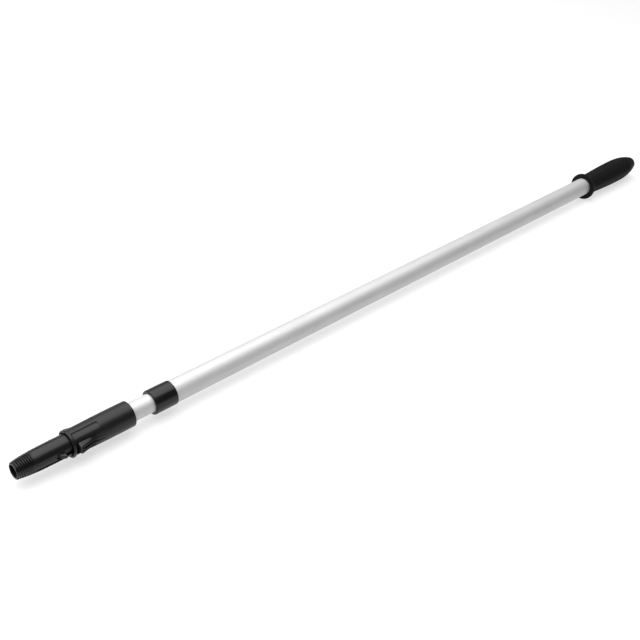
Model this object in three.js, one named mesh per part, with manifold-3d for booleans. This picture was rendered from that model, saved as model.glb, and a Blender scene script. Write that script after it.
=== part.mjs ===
// Telescopic roller extension pole: a thin tube with a snap-and-screw tool fitting slides in a fat tube
// with a rubber grip, and a twist of the thin tube jams an eccentric cam inside the fat one.
// Millimetres. +X runs along the pole from the tool to the hand, +Z is up, and the release ears are on +-Y.
// The origin is on the pole's axis, in the plane of the fitting's lip where a tool's socket stops.

import * as THREE from 'three';
import { mergeVertices } from 'three/addons/utils/BufferGeometryUtils.js';
import Module from 'manifold-3d';

const wasm = await Module();
wasm.setup();

// ---------------------------------------------------------------- driving dimensions

const SIDES = 36;
const SMALL_SIDES = 20;
const GRIP_SIDES = 28;
const GAP = 0.3;

const OUTER_TUBE_R = 13;
const OUTER_TUBE_WALL = 1.2;
const INNER_TUBE_R = 10.5;
const INNER_TUBE_WALL = 1.1;
const OUTER_BORE_R = OUTER_TUBE_R - OUTER_TUBE_WALL;
const INNER_BORE_R = INNER_TUBE_R - INNER_TUBE_WALL;
const SPIGOT_R = INNER_BORE_R - 0.15;

const TIP_X = -58.5;
const SLEEVE_REAR_X = 73.2;
const COLLAR_FRONT_X = 99.5;
const COLLAR_REAR_X = 127.1;
const FLANGE_X = 924.5;
const GRIP_END_X = 1067.5;
const OUTER_TUBE_FRONT_X = 103.5;
const OUTER_TUBE_REAR_X = 1037.5;
const INNER_TUBE_FRONT_X = 47.5;
const INNER_TUBE_REAR_X = 961.5;

// nose: a rounded taper that carries the thread, then a nearly parallel shank
const NOSE_R = 11.8;
const NOSE_TIP_DROP = 2.9;
const NOSE_TAPER = 12;
const NOSE_BORE_R = 6.6;
const NOSE_BORE_END_X = -32.5;
const THREAD_START_X = -55.4;
const THREAD_PITCH = 2.25;
const THREAD_RIDGES = 8;
const THREAD_DEPTH = 0.45;
const CORE_R = 10.9;
const SPIGOT_END_X = 92;
const SPIGOT_BORE_R = 5;
const SPIGOT_BORE_END_X = 74;
const CHANNEL_HALF_WIDTH = 5.4;
const CHANNEL_FLOOR_Y = 9.4;
const CHANNEL_REAR_X = -8;

// collar, bush and end plug of the outer tube
const COLLAR_R = 13.9;
const COLLAR_ROUND = 3;
const BUSH_FRONT_X = 102.1;
const BUSH_REAR_X = 143;
const END_PLUG_FRONT_X = 1024;
const END_PLUG_REAR_X = 1039.6;

// grip
const FLANGE_R = 20.1;
const FLANGE_RIM_X = 926.5;
const NECK_X = 935.5;
const NECK_R = 15.2;
const SWELL_X = 1013.5;
const SWELL_R = 17.6;
const GRIP_END_R = 9.3;

// sleeve
const LIP_R = 14.9;
const LIP_WIDTH = 2.5;
const LIP_BORE_R = 13.1;
const SLEEVE_FRONT_R = 13.8;
const SLEEVE_REAR_R = 14.4;
const SLEEVE_BORE_R = 11.05;
const PANEL_DEPTH = 1;
const PANEL_FRONT_X = 3.6;
const PANEL_REAR_X = 33.5;
const PANEL_TOP_ANGLE = 79;
const PANEL_FADE_ANGLE = 46;
const WINDOW_FRONT_X = 3.2;
const WINDOW_REAR_X = 42.8;
const WINDOW_FRONT_HALF = 7.7;
const WINDOW_REAR_HALF = 6.3;
const WINDOW_CORNER_R = 3.9;
const SCREW_XS = [54, 66];
const SCREW_R = 1.35;
const SCREW_HEAD_R = 2.6;
const SCREW_HEAD_Z = -13.9;
const SCREW_TIP_Z = -5.6;

// latches
const SLOT_HALF_WIDTH = 3.7;
const SLOT_FRONT_X = -18;
const WEB_HALF = 1.2;
const POCKET_HALF_WIDTH = 8;
const POCKET_FLOOR_Y = 6;
const PIVOT_X = 38.5;
const PIVOT_Y = 4.4;
const PIVOT_R = 1.3;
const PIVOT_HALF_LENGTH = 8.4;
const HUB_R = PIVOT_R + 1.3;
const LUG_HALF_WIDTH = 2.8;
const ARM_HALF_WIDTH = 3.1;
const ARM_IN_Y = 7;
const ARM_OUT_Y = 9.2;
const ARM_FRONT_X = -17.4;
const LUG_FRONT_X = -15.5;
const LUG_PEAK_X = -10.2;
const LUG_BACK_X = -9;
const LUG_PEAK_Y = 17;
const EAR_FRONT_X = 5;
const EAR_REAR_X = 42.5;
const EAR_IN_Y = 9.6;
const EAR_R = 13.9;
const PAD_FRONT_X = 4.2;
const PAD_REAR_X = 26;
const PAD_CORNER_R = 3.4;
const PAD_HALF_WIDTH = 5.55;
const PAD_TOP_Y = 17.8;
const PAD_REAR_Y = 13.9;
const SPRING_X = 11.5;
const SPRING_R = 2.1;
const SPRING_WIRE_R = 0.28;
const SPRING_TURNS = 4.25;

// twist lock
const LOCK_PLUG_DEPTH = 30;
const PLUG_PIN_X = 946;
const PLUG_PIN_R = 1.5;
const GUIDE_SCREW_R = 1.5;
const DRAG_R = 10.95;
const DRAG_WIRE_R = 0.8;
const ECCENTRICITY = 1;
const JOURNAL_R = 4;
const STUB_R = 3.2;
const CAM_FRONT_X = 966.5;
const CAM_REAR_X = 990.5;
const CAM_R = 10.65;
const GUIDE_FRONT_X = 992.5;
const GUIDE_REAR_X = 1012.5;
const GUIDE_R = 11.65;

// ---------------------------------------------------------------- solids

// A closed geometry from triangles whose shared vertices are merged, with its faces turned outwards.
function closed(geometry) {
  const bare = geometry.index ? geometry : geometry.clone();
  bare.deleteAttribute('normal');
  bare.deleteAttribute('uv');
  const merged = mergeVertices(bare, 1e-4);
  const at = merged.attributes.position;
  const corners = [new THREE.Vector3(), new THREE.Vector3(), new THREE.Vector3()];
  const faces = [];
  let volume = 0;
  for (let i = 0; i < merged.index.count; i += 3) {
    const face = [0, 1, 2].map((k) => merged.index.getX(i + k));
    if (new Set(face).size < 3) continue;
    faces.push(face);
    face.forEach((vertex, k) => corners[k].fromBufferAttribute(at, vertex));
    volume += corners[0].dot(corners[1].clone().cross(corners[2]));
  }
  const ordered = volume < 0 ? faces.map((face) => [face[0], face[2], face[1]]) : faces;
  const out = new THREE.BufferGeometry();
  out.setAttribute('position', new THREE.BufferAttribute(new Float32Array(at.array), 3));
  out.setIndex(ordered.flat());
  return out;
}

function toManifold(geometry) {
  const vertProperties = new Float32Array(geometry.attributes.position.array);
  const triVerts = new Uint32Array(geometry.index.array);
  return new wasm.Manifold(new wasm.Mesh({ numProp: 3, vertProperties, triVerts }));
}

function fromManifold(solid) {
  const mesh = solid.getMesh();
  const out = new THREE.BufferGeometry();
  out.setAttribute('position', new THREE.BufferAttribute(new Float32Array(mesh.vertProperties), 3));
  out.setIndex(Array.from(mesh.triVerts));
  return out;
}

function cut(base, ...tools) {
  const solid = tools.reduce((left, tool) => left.subtract(toManifold(tool)), toManifold(base));
  return fromManifold(solid);
}

function join(base, ...others) {
  return fromManifold(others.reduce((sum, other) => sum.add(toManifold(other)), toManifold(base)));
}

function common(one, other) {
  return fromManifold(toManifold(one).intersect(toManifold(other)));
}

// Turns a profile of [x, radius] points about the pole's axis. The profile starts and ends on the axis,
// or it is a loop, which is closed here.
function revolve(profile, sides = SIDES, phase = 0) {
  const points = profile.map(([x, radius]) => new THREE.Vector2(radius, x));
  const last = points[points.length - 1];
  if (points[0].x > 0 || last.x > 0) points.push(points[0].clone());
  const geometry = new THREE.LatheGeometry(points, sides);
  geometry.rotateZ(-Math.PI / 2);
  geometry.rotateX(phase);
  return closed(geometry);
}

function ring(x0, x1, innerR, outerR, sides = SIDES) {
  return revolve([[x0, innerR], [x0, outerR], [x1, outerR], [x1, innerR]], sides);
}

function rod(x0, x1, radius, sides = SMALL_SIDES) {
  return revolve([[x0, 0], [x0, radius], [x1, radius], [x1, 0]], sides);
}

function box(low, high) {
  const size = high.map((value, k) => value - low[k]);
  const geometry = new THREE.BoxGeometry(...size);
  geometry.translate(...low.map((value, k) => value + size[k] / 2));
  return closed(geometry);
}

// A plate whose outline lies in the X-Z plane, from one Y to another.
function plateAlongY(shape, yLow, yHigh) {
  const depth = yHigh - yLow;
  const geometry = new THREE.ExtrudeGeometry(shape, { depth, bevelEnabled: false, curveSegments: 10 });
  geometry.rotateX(Math.PI / 2);
  geometry.translate(0, yHigh, 0);
  return closed(geometry);
}

// A plate whose outline lies in the X-Y plane, centred on Z = 0.
function plateAlongZ(shape, halfWidth) {
  const depth = 2 * halfWidth;
  const geometry = new THREE.ExtrudeGeometry(shape, { depth, bevelEnabled: false });
  geometry.translate(0, 0, -halfWidth);
  return closed(geometry);
}

function polygon(points) {
  return new THREE.Shape(points.map(([x, y]) => new THREE.Vector2(x, y)));
}

// An outline with round front corners, as seen along Y: a slot where the corners are half its width.
function slotOutline(front, rear, halfWidth, corner, rearHalfWidth = halfWidth) {
  const shape = new THREE.Shape();
  shape.moveTo(rear, -rearHalfWidth);
  shape.lineTo(rear, rearHalfWidth);
  shape.absarc(front + corner, halfWidth - corner, corner, Math.PI / 2, Math.PI, false);
  shape.absarc(front + corner, corner - halfWidth, corner, Math.PI, 1.5 * Math.PI, false);
  return shape;
}

// The same solid on the opposite side of the pole: half a turn about its axis.
function halfTurn(geometry) {
  return geometry.clone().rotateX(Math.PI);
}

function bothSides(geometry) {
  return [geometry, halfTurn(geometry)];
}

// A turned solid with its axis moved from X to Z, at a point on the pole.
function upright(geometry, x, y = 0) {
  return geometry.rotateY(-Math.PI / 2).translate(x, y, 0);
}

function stations(from, to, count) {
  return Array.from({ length: count + 1 }, (_, i) => from + ((to - from) * i) / count);
}

function arc(centreX, centreR, radius, from, to, steps) {
  return Array.from({ length: steps + 1 }, (_, i) => {
    const angle = THREE.MathUtils.degToRad(from + ((to - from) * i) / steps);
    return [centreX + radius * Math.cos(angle), centreR + radius * Math.sin(angle)];
  });
}

// ---------------------------------------------------------------- tool fitting

function noseRadius(x) {
  return NOSE_R - NOSE_TIP_DROP * Math.exp(-(x - TIP_X) / NOSE_TAPER);
}

// The thread as ridges round the taper, which run out over the last few.
function threadRidges() {
  const ridges = [];
  for (let i = 0; i < THREAD_RIDGES; i += 1) {
    const crest = THREAD_START_X + i * THREAD_PITCH;
    const root = crest - THREAD_PITCH / 2;
    const depth = THREAD_DEPTH * Math.min(1, (THREAD_RIDGES - i) / 3);
    ridges.push([root, noseRadius(root) - depth]);
    ridges.push([crest, noseRadius(crest)]);
  }
  return ridges;
}

function noseBody() {
  const threadEnd = THREAD_START_X + THREAD_RIDGES * THREAD_PITCH;
  const shank = [0, 8, 18, 30].map((step) => [threadEnd + step, noseRadius(threadEnd + step)]);
  return revolve([
    [NOSE_BORE_END_X, 0],
    [NOSE_BORE_END_X, NOSE_BORE_R],
    [TIP_X + 0.5, NOSE_BORE_R],
    [TIP_X, NOSE_BORE_R + 0.5],
    [TIP_X, noseRadius(TIP_X) - 0.8],
    [TIP_X + 0.9, noseRadius(TIP_X + 0.9)],
    ...threadRidges(),
    ...shank,
    [LIP_WIDTH - 0.3, noseRadius(LIP_WIDTH)],
    [LIP_WIDTH - 0.3, CORE_R],
    [INNER_TUBE_FRONT_X - GAP, CORE_R],
    [INNER_TUBE_FRONT_X - GAP, SPIGOT_R],
    [SPIGOT_END_X - 1, SPIGOT_R],
    [SPIGOT_END_X, SPIGOT_R - 1],
    [SPIGOT_END_X, SPIGOT_BORE_R],
    [SPIGOT_BORE_END_X, SPIGOT_BORE_R],
    [SPIGOT_BORE_END_X, 0],
  ]);
}

function latchSlots() {
  const slot = slotOutline(SLOT_FRONT_X, WINDOW_REAR_X, SLOT_HALF_WIDTH, SLOT_HALF_WIDTH);
  const pocket = slotOutline(WINDOW_FRONT_X, WINDOW_REAR_X, POCKET_HALF_WIDTH, WINDOW_CORNER_R);
  const channel = box(
    [TIP_X - 1, CHANNEL_FLOOR_Y, -CHANNEL_HALF_WIDTH],
    [CHANNEL_REAR_X, 2 * CORE_R, CHANNEL_HALF_WIDTH],
  );
  return [
    ...bothSides(plateAlongY(slot, WEB_HALF, 2 * CORE_R)),
    ...bothSides(plateAlongY(pocket, POCKET_FLOOR_Y, 2 * CORE_R)),
    ...bothSides(channel),
  ];
}

function noseCore() {
  const pinHole = upright(rod(-2 * CORE_R, 2 * CORE_R, PIVOT_R + 0.08), PIVOT_X, PIVOT_Y);
  const pilots = SCREW_XS.map((x) => upright(rod(-2 * CORE_R, SCREW_TIP_Z + 0.4, SCREW_R + 0.1), x));
  return cut(noseBody(), ...latchSlots(), ...bothSides(pinHole), ...pilots);
}

// One shallow panel of the sleeve, between two angles above the +Y side: deepest along its upper edge,
// and running out into the wall at its lower one.
function panelCutter() {
  const low = THREE.MathUtils.degToRad(PANEL_FADE_ANGLE);
  const high = THREE.MathUtils.degToRad(PANEL_TOP_ANGLE);
  const around = (radius, angle) => new THREE.Vector2(radius * Math.cos(angle), radius * Math.sin(angle));
  const floor = stations(0, 1, 6).map((t) => (
    around(SLEEVE_REAR_R - (SLEEVE_REAR_R - SLEEVE_FRONT_R + PANEL_DEPTH) * t, low + (high - low) * t)));
  const outside = [high, (low + high) / 2, low].map((angle) => around(2 * LIP_R, angle));
  const depth = PANEL_REAR_X - PANEL_FRONT_X;
  const shape = new THREE.Shape([...floor, ...outside]);
  const geometry = new THREE.ExtrudeGeometry(shape, { depth, bevelEnabled: false });
  geometry.applyMatrix4(new THREE.Matrix4().makeBasis(
    new THREE.Vector3(0, 1, 0), new THREE.Vector3(0, 0, 1), new THREE.Vector3(1, 0, 0)));
  geometry.translate(PANEL_FRONT_X, 0, 0);
  return closed(geometry);
}

function mirroredInY(geometry) {
  return closed(geometry.clone().applyMatrix4(new THREE.Matrix4().makeScale(1, -1, 1)));
}

function fittingSleeve() {
  const shell = revolve([
    [0, LIP_BORE_R],
    [0, LIP_R - 0.5],
    [0.5, LIP_R],
    [LIP_WIDTH - 0.5, LIP_R],
    [LIP_WIDTH, LIP_R - 0.3],
    [LIP_WIDTH + 0.5, SLEEVE_FRONT_R],
    [PAD_REAR_X, (SLEEVE_FRONT_R + SLEEVE_REAR_R) / 2 + 0.1],
    [WINDOW_REAR_X + 5, SLEEVE_REAR_R],
    [SLEEVE_REAR_X - 0.8, SLEEVE_REAR_R],
    [SLEEVE_REAR_X, SLEEVE_REAR_R - 0.8],
    [SLEEVE_REAR_X, INNER_TUBE_R + 0.2],
    [INNER_TUBE_FRONT_X, INNER_TUBE_R + 0.2],
    [INNER_TUBE_FRONT_X, SLEEVE_BORE_R],
    [LIP_WIDTH, SLEEVE_BORE_R],
    [LIP_WIDTH, LIP_BORE_R],
  ]);
  const outline = slotOutline(
    WINDOW_FRONT_X, WINDOW_REAR_X, WINDOW_FRONT_HALF, WINDOW_CORNER_R, WINDOW_REAR_HALF);
  const window = plateAlongY(outline, POCKET_FLOOR_Y, 2 * LIP_R);
  const panel = panelCutter();
  const sinks = SCREW_XS.map((x) => upright(revolve([
    [-2 * LIP_R, 0],
    [-2 * LIP_R, SCREW_HEAD_R + 0.15],
    [SCREW_HEAD_Z + 1.2, SCREW_HEAD_R + 0.15],
    [SCREW_HEAD_Z + 2.4, SCREW_R + 0.15],
    [0, SCREW_R + 0.15],
    [0, 0],
  ], SMALL_SIDES), x));
  return cut(shell, ...bothSides(window), ...bothSides(panel), ...bothSides(mirroredInY(panel)), ...sinks);
}

function sleeveScrew(x) {
  return upright(revolve([
    [SCREW_HEAD_Z, 0],
    [SCREW_HEAD_Z, SCREW_HEAD_R],
    [SCREW_HEAD_Z + 1.2, SCREW_HEAD_R],
    [SCREW_HEAD_Z + 2.4, SCREW_R],
    [SCREW_TIP_Z - 1, SCREW_R],
    [SCREW_TIP_Z, 0],
  ], SMALL_SIDES), x);
}

// A latch on the +Y side: an arm with a wedge-shaped lug in front, a plate that fills the sleeve's window
// with a raised thumb pad on it, and a hub round the pivot pin.
function latchArm() {
  const side = plateAlongZ(polygon([
    [ARM_FRONT_X, ARM_IN_Y],
    [PIVOT_X - 6, ARM_IN_Y],
    ...arc(PIVOT_X, PIVOT_Y, HUB_R, 200, 360, 6),
    [PIVOT_X + HUB_R, EAR_IN_Y + 0.6],
    [PAD_FRONT_X + 2, EAR_IN_Y + 0.6],
    [PAD_FRONT_X + 1, ARM_OUT_Y],
    [ARM_FRONT_X, ARM_OUT_Y],
  ]), 2 * ARM_HALF_WIDTH);
  const plan = slotOutline(ARM_FRONT_X, PIVOT_X + HUB_R, ARM_HALF_WIDTH, ARM_HALF_WIDTH);
  return common(side, plateAlongY(plan, 0, 2 * CORE_R));
}

function latchLug() {
  const reach = Math.PI / 2.6;
  const ramp = stations(0, 1, 3).map((t) => [
    LUG_FRONT_X + t * (LUG_PEAK_X - LUG_FRONT_X),
    ARM_OUT_Y + 0.3 + ((LUG_PEAK_Y - ARM_OUT_Y - 0.3) * Math.sin(t * reach)) / Math.sin(reach),
  ]);
  return plateAlongZ(polygon([
    [LUG_FRONT_X, ARM_IN_Y + 0.4],
    [LUG_BACK_X + 1.4, ARM_IN_Y + 0.4],
    [LUG_BACK_X + 1.2, ARM_OUT_Y + 0.6],
    [LUG_BACK_X, LUG_PEAK_Y],
    ...ramp.reverse(),
  ]), LUG_HALF_WIDTH);
}

// Height of the thumb pad: a rounded front, then a slope that runs out level with the sleeve.
function padHeight(x) {
  const along = (x - PAD_FRONT_X) / (PAD_REAR_X - PAD_FRONT_X);
  return PAD_REAR_Y + (PAD_TOP_Y - PAD_REAR_Y) * (1 - along) ** 1.4;
}

function latchEar() {
  const half = WINDOW_FRONT_HALF - GAP;
  const outline = slotOutline(EAR_FRONT_X, EAR_REAR_X, half, WINDOW_CORNER_R, WINDOW_REAR_HALF - GAP);
  const plate = common(rod(0, EAR_REAR_X, EAR_R, SIDES), plateAlongY(outline, EAR_IN_Y, 2 * EAR_R));
  const side = plateAlongZ(polygon([
    [PAD_FRONT_X, EAR_IN_Y + 1],
    [PAD_REAR_X, EAR_IN_Y + 1],
    ...stations(PAD_REAR_X, PAD_FRONT_X + 1.2, 5).map((x) => [x, padHeight(x)]),
    [PAD_FRONT_X, PAD_TOP_Y - 1.2],
  ]), PAD_HALF_WIDTH + 1);
  const plan = slotOutline(PAD_FRONT_X, PAD_REAR_X, PAD_HALF_WIDTH, PAD_CORNER_R);
  const pad = common(side, plateAlongY(plan, EAR_IN_Y, PAD_TOP_Y + 1));
  const hollow = box([PAD_FRONT_X + 5, PAD_REAR_Y + 0.4, -1.1], [PAD_REAR_X - 4, 2 * PAD_TOP_Y, 1.1]);
  return cut(join(plate, pad), hollow);
}

function latch() {
  const hole = upright(rod(-2 * CORE_R, 2 * CORE_R, PIVOT_R + 0.08), PIVOT_X, PIVOT_Y);
  return cut(join(latchArm(), latchLug(), latchEar()), hole);
}

function pivotPin() {
  return upright(rod(-PIVOT_HALF_LENGTH, PIVOT_HALF_LENGTH, PIVOT_R), PIVOT_X, PIVOT_Y);
}

class HelixAlongY extends THREE.Curve {
  constructor(x, yLow, yHigh, radius, turns) {
    super();
    Object.assign(this, { x, yLow, yHigh, radius, turns });
  }

  getPoint(t) {
    const angle = 2 * Math.PI * this.turns * t;
    return new THREE.Vector3(
      this.x + this.radius * Math.cos(angle),
      this.yLow + t * (this.yHigh - this.yLow),
      this.radius * Math.sin(angle),
    );
  }
}

function latchSpring() {
  const low = WEB_HALF + SPRING_WIRE_R + 0.1;
  const high = ARM_IN_Y - SPRING_WIRE_R - 0.1;
  const path = new HelixAlongY(SPRING_X, low, high, SPRING_R, SPRING_TURNS);
  const section = new THREE.Shape().absarc(0, 0, SPRING_WIRE_R, 0, 2 * Math.PI, false);
  const steps = Math.round(SPRING_TURNS * 9);
  return closed(new THREE.ExtrudeGeometry(section, { steps, curveSegments: 3, extrudePath: path }));
}

// ---------------------------------------------------------------- tubes and collar

function innerTube() {
  const holes = SCREW_XS.map((x) => upright(rod(-2 * INNER_TUBE_R, 0, SCREW_R + 0.15), x));
  const pinHole = rod(-2 * INNER_TUBE_R, 2 * INNER_TUBE_R, PLUG_PIN_R + 0.08).rotateZ(Math.PI / 2);
  pinHole.translate(PLUG_PIN_X, 0, 0);
  return cut(ring(INNER_TUBE_FRONT_X, INNER_TUBE_REAR_X, INNER_BORE_R, INNER_TUBE_R), ...holes, pinHole);
}

function frontCollar() {
  return revolve([
    [COLLAR_FRONT_X, INNER_TUBE_R + 0.3],
    ...arc(COLLAR_FRONT_X + COLLAR_ROUND, COLLAR_R - COLLAR_ROUND, COLLAR_ROUND, 180, 90, 4),
    [COLLAR_REAR_X - 1.1, COLLAR_R],
    [COLLAR_REAR_X, COLLAR_R - 0.6],
    [COLLAR_REAR_X, OUTER_TUBE_R + 0.1],
    [BUSH_FRONT_X - 0.2, OUTER_TUBE_R + 0.1],
    [BUSH_FRONT_X - 0.2, INNER_TUBE_R + 0.3],
  ]);
}

function guideBush() {
  return revolve([
    [BUSH_FRONT_X, INNER_TUBE_R + 0.12],
    [BUSH_FRONT_X, OUTER_TUBE_R - 0.2],
    [OUTER_TUBE_FRONT_X - GAP, OUTER_TUBE_R - 0.2],
    [OUTER_TUBE_FRONT_X - GAP, OUTER_BORE_R - 0.1],
    [BUSH_REAR_X, OUTER_BORE_R - 0.1],
    [BUSH_REAR_X, INNER_TUBE_R + 0.12],
  ]);
}

function tubeEndPlug() {
  return revolve([
    [END_PLUG_REAR_X - 3, 0],
    [END_PLUG_REAR_X - 3, OUTER_BORE_R - 2],
    [END_PLUG_FRONT_X, OUTER_BORE_R - 2],
    [END_PLUG_FRONT_X, OUTER_BORE_R - 0.4],
    [END_PLUG_FRONT_X + 1, OUTER_BORE_R - 0.1],
    [OUTER_TUBE_REAR_X + GAP, OUTER_BORE_R - 0.1],
    [OUTER_TUBE_REAR_X + GAP, OUTER_TUBE_R - 0.2],
    [END_PLUG_REAR_X, OUTER_TUBE_R - 0.2],
    [END_PLUG_REAR_X, 0],
  ]);
}

// ---------------------------------------------------------------- grip

// The grip's outside: a flange, a hollow flare down to the neck, a slow swell and a rounded taper.
function gripRadius(x) {
  if (x < NECK_X) {
    const flare = (x - FLANGE_RIM_X) / (NECK_X - FLANGE_RIM_X);
    return NECK_R + (FLANGE_R - NECK_R) * 0.5 * (1 + Math.cos(Math.PI * Math.max(flare, 0)));
  }
  if (x < SWELL_X) {
    return NECK_R + (SWELL_R - NECK_R) * Math.sin(((x - NECK_X) / (SWELL_X - NECK_X)) * (Math.PI / 2));
  }
  return SWELL_R - (SWELL_R - GRIP_END_R) * ((x - SWELL_X) / (GRIP_END_X - SWELL_X)) ** 2.5;
}

function softGrip() {
  const outside = [
    ...stations(FLANGE_RIM_X, NECK_X, 6),
    ...stations(NECK_X, SWELL_X, 6).slice(1),
    ...stations(SWELL_X, GRIP_END_X - 1.2, 7).slice(1),
  ].map((x) => [x, gripRadius(x)]);
  return revolve([
    [END_PLUG_REAR_X + GAP, 0],
    [END_PLUG_REAR_X + GAP, OUTER_TUBE_R + 0.15],
    [FLANGE_X, OUTER_TUBE_R + 0.15],
    [FLANGE_X, FLANGE_R - 0.8],
    [FLANGE_X + 0.8, FLANGE_R],
    ...outside,
    [GRIP_END_X, GRIP_END_R - 1.2],
    [GRIP_END_X, 0],
  ], GRIP_SIDES, Math.PI / GRIP_SIDES);
}

// ---------------------------------------------------------------- twist lock

function lockPlug() {
  const body = revolve([
    [INNER_TUBE_REAR_X - LOCK_PLUG_DEPTH, 0],
    [INNER_TUBE_REAR_X - LOCK_PLUG_DEPTH, INNER_BORE_R - 0.8],
    [INNER_TUBE_REAR_X - LOCK_PLUG_DEPTH + 1, INNER_BORE_R - 0.1],
    [INNER_TUBE_REAR_X + GAP, INNER_BORE_R - 0.1],
    [INNER_TUBE_REAR_X + GAP, INNER_TUBE_R - 0.1],
    [CAM_FRONT_X - 0.6, INNER_TUBE_R - 0.1],
    [CAM_FRONT_X - 0.6, 0],
  ]);
  const journal = rod(CAM_FRONT_X - 2, CAM_REAR_X + 0.6, JOURNAL_R, 24).translate(0, 0, ECCENTRICITY);
  const stub = rod(CAM_REAR_X + 0.3, GUIDE_REAR_X + 0.4, STUB_R, 24);
  const pilot = rod(GUIDE_REAR_X - 13, GUIDE_REAR_X + 2, GUIDE_SCREW_R + 0.1);
  const pinHole = rod(-2 * INNER_TUBE_R, 2 * INNER_TUBE_R, PLUG_PIN_R + 0.08).rotateZ(Math.PI / 2);
  return cut(join(body, journal, stub), pilot, pinHole.translate(PLUG_PIN_X, 0, 0));
}

function plugPin() {
  const half = INNER_TUBE_R - 0.15;
  return rod(-half, half, PLUG_PIN_R).rotateZ(Math.PI / 2).translate(PLUG_PIN_X, 0, 0);
}

function camRing() {
  const outside = revolve([
    [CAM_FRONT_X, 0],
    [CAM_FRONT_X, CAM_R - 1],
    [CAM_FRONT_X + 1, CAM_R],
    [CAM_REAR_X - 1, CAM_R],
    [CAM_REAR_X, CAM_R - 1],
    [CAM_REAR_X, 0],
  ]);
  const bore = rod(CAM_FRONT_X - 1, CAM_REAR_X + 1, JOURNAL_R + 0.1, 24).translate(0, 0, ECCENTRICITY);
  const split = box([CAM_FRONT_X - 1, -0.8, -2 * CAM_R], [CAM_REAR_X + 1, 0.8, 0]);
  return cut(outside, bore, split);
}

function guideRing() {
  const middle = (GUIDE_FRONT_X + GUIDE_REAR_X) / 2;
  return revolve([
    [GUIDE_FRONT_X, STUB_R + 0.1],
    [GUIDE_FRONT_X, GUIDE_R - 0.6],
    [GUIDE_FRONT_X + 0.6, GUIDE_R],
    [middle - DRAG_WIRE_R - 0.1, GUIDE_R],
    [middle - DRAG_WIRE_R - 0.1, DRAG_R - DRAG_WIRE_R - 0.05],
    [middle + DRAG_WIRE_R + 0.1, DRAG_R - DRAG_WIRE_R - 0.05],
    [middle + DRAG_WIRE_R + 0.1, GUIDE_R],
    [GUIDE_REAR_X - 0.6, GUIDE_R],
    [GUIDE_REAR_X, GUIDE_R - 0.6],
    [GUIDE_REAR_X, STUB_R + 0.1],
  ]);
}

function dragRing() {
  const middle = (GUIDE_FRONT_X + GUIDE_REAR_X) / 2;
  return revolve(arc(middle, DRAG_R, DRAG_WIRE_R, 0, 315, 7));
}

function guideWasher() {
  return ring(GUIDE_REAR_X + 0.6, GUIDE_REAR_X + 1.8, GUIDE_SCREW_R + 0.2, 6, SMALL_SIDES);
}

function guideScrew() {
  const seat = GUIDE_REAR_X + 2.1;
  return revolve([
    [GUIDE_REAR_X - 12, 0],
    [GUIDE_REAR_X - 11, GUIDE_SCREW_R],
    [seat, GUIDE_SCREW_R],
    [seat, 3.3],
    [seat + 1.6, 3.3],
    [seat + 2.6, 2],
    [seat + 2.6, 0],
  ], SMALL_SIDES);
}

// ---------------------------------------------------------------- assembly

const ALUMINIUM = { color: 0xc9cbcc, roughness: 0.34, metalness: 1 };
const BLACK_PLASTIC = { color: 0x17181a, roughness: 0.42, metalness: 0 };
const GLOSS_PLASTIC = { color: 0x101113, roughness: 0.25, metalness: 0 };
const BLACK_RUBBER = { color: 0x1b1c1d, roughness: 0.75, metalness: 0 };
const WHITE_NYLON = { color: 0xdad8cf, roughness: 0.5, metalness: 0 };
const ZINC_STEEL = { color: 0xa9abad, roughness: 0.35, metalness: 1 };

const pole = new THREE.Group();

function add(name, geometry, look) {
  const part = new THREE.Mesh(geometry, new THREE.MeshStandardMaterial(look));
  part.name = name;
  pole.add(part);
}

add('outer_tube', ring(OUTER_TUBE_FRONT_X, OUTER_TUBE_REAR_X, OUTER_BORE_R, OUTER_TUBE_R), ALUMINIUM);
add('front_collar', frontCollar(), GLOSS_PLASTIC);
add('guide_bush', guideBush(), WHITE_NYLON);
add('soft_grip', softGrip(), BLACK_RUBBER);
add('tube_end_plug', tubeEndPlug(), BLACK_PLASTIC);

add('guide_ring', guideRing(), WHITE_NYLON);
add('drag_ring', dragRing(), BLACK_RUBBER);

add('inner_tube', innerTube(), ALUMINIUM);
add('nose_core', noseCore(), BLACK_PLASTIC);
add('fitting_sleeve', fittingSleeve(), BLACK_PLASTIC);
add('sleeve_screw_front', sleeveScrew(SCREW_XS[0]), ZINC_STEEL);
add('sleeve_screw_rear', sleeveScrew(SCREW_XS[1]), ZINC_STEEL);
add('lock_plug', lockPlug(), WHITE_NYLON);
add('plug_pin', plugPin(), ZINC_STEEL);
add('guide_washer', guideWasher(), ZINC_STEEL);
add('guide_screw', guideScrew(), ZINC_STEEL);

add('pivot_pin_right', pivotPin(), ZINC_STEEL);
add('pivot_pin_left', halfTurn(pivotPin()), ZINC_STEEL);
add('latch_spring_right', latchSpring(), ZINC_STEEL);
add('latch_spring_left', halfTurn(latchSpring()), ZINC_STEEL);
add('latch_right', latch(), BLACK_PLASTIC);
add('latch_left', halfTurn(latch()), BLACK_PLASTIC);

add('cam_ring', camRing(), WHITE_NYLON);

export default pole;
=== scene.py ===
"""Looks of a telescopic roller extension pole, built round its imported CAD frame.

The mesh code works in millimetres. +X runs along the pole from the tool to the hand, +Z is up and the
release ears are on +-Y. settle() scales each finished piece to metres, in the frame of the CAD.
Angles round the pole start at +Y and turn towards +Z. An elevation is the angle above or below the
horizontal plane through the axis, from 0 to 90 degrees.
"""

import math

import bmesh
import bpy
import numpy as np
from mathutils import Euler, Matrix, Vector


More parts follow.
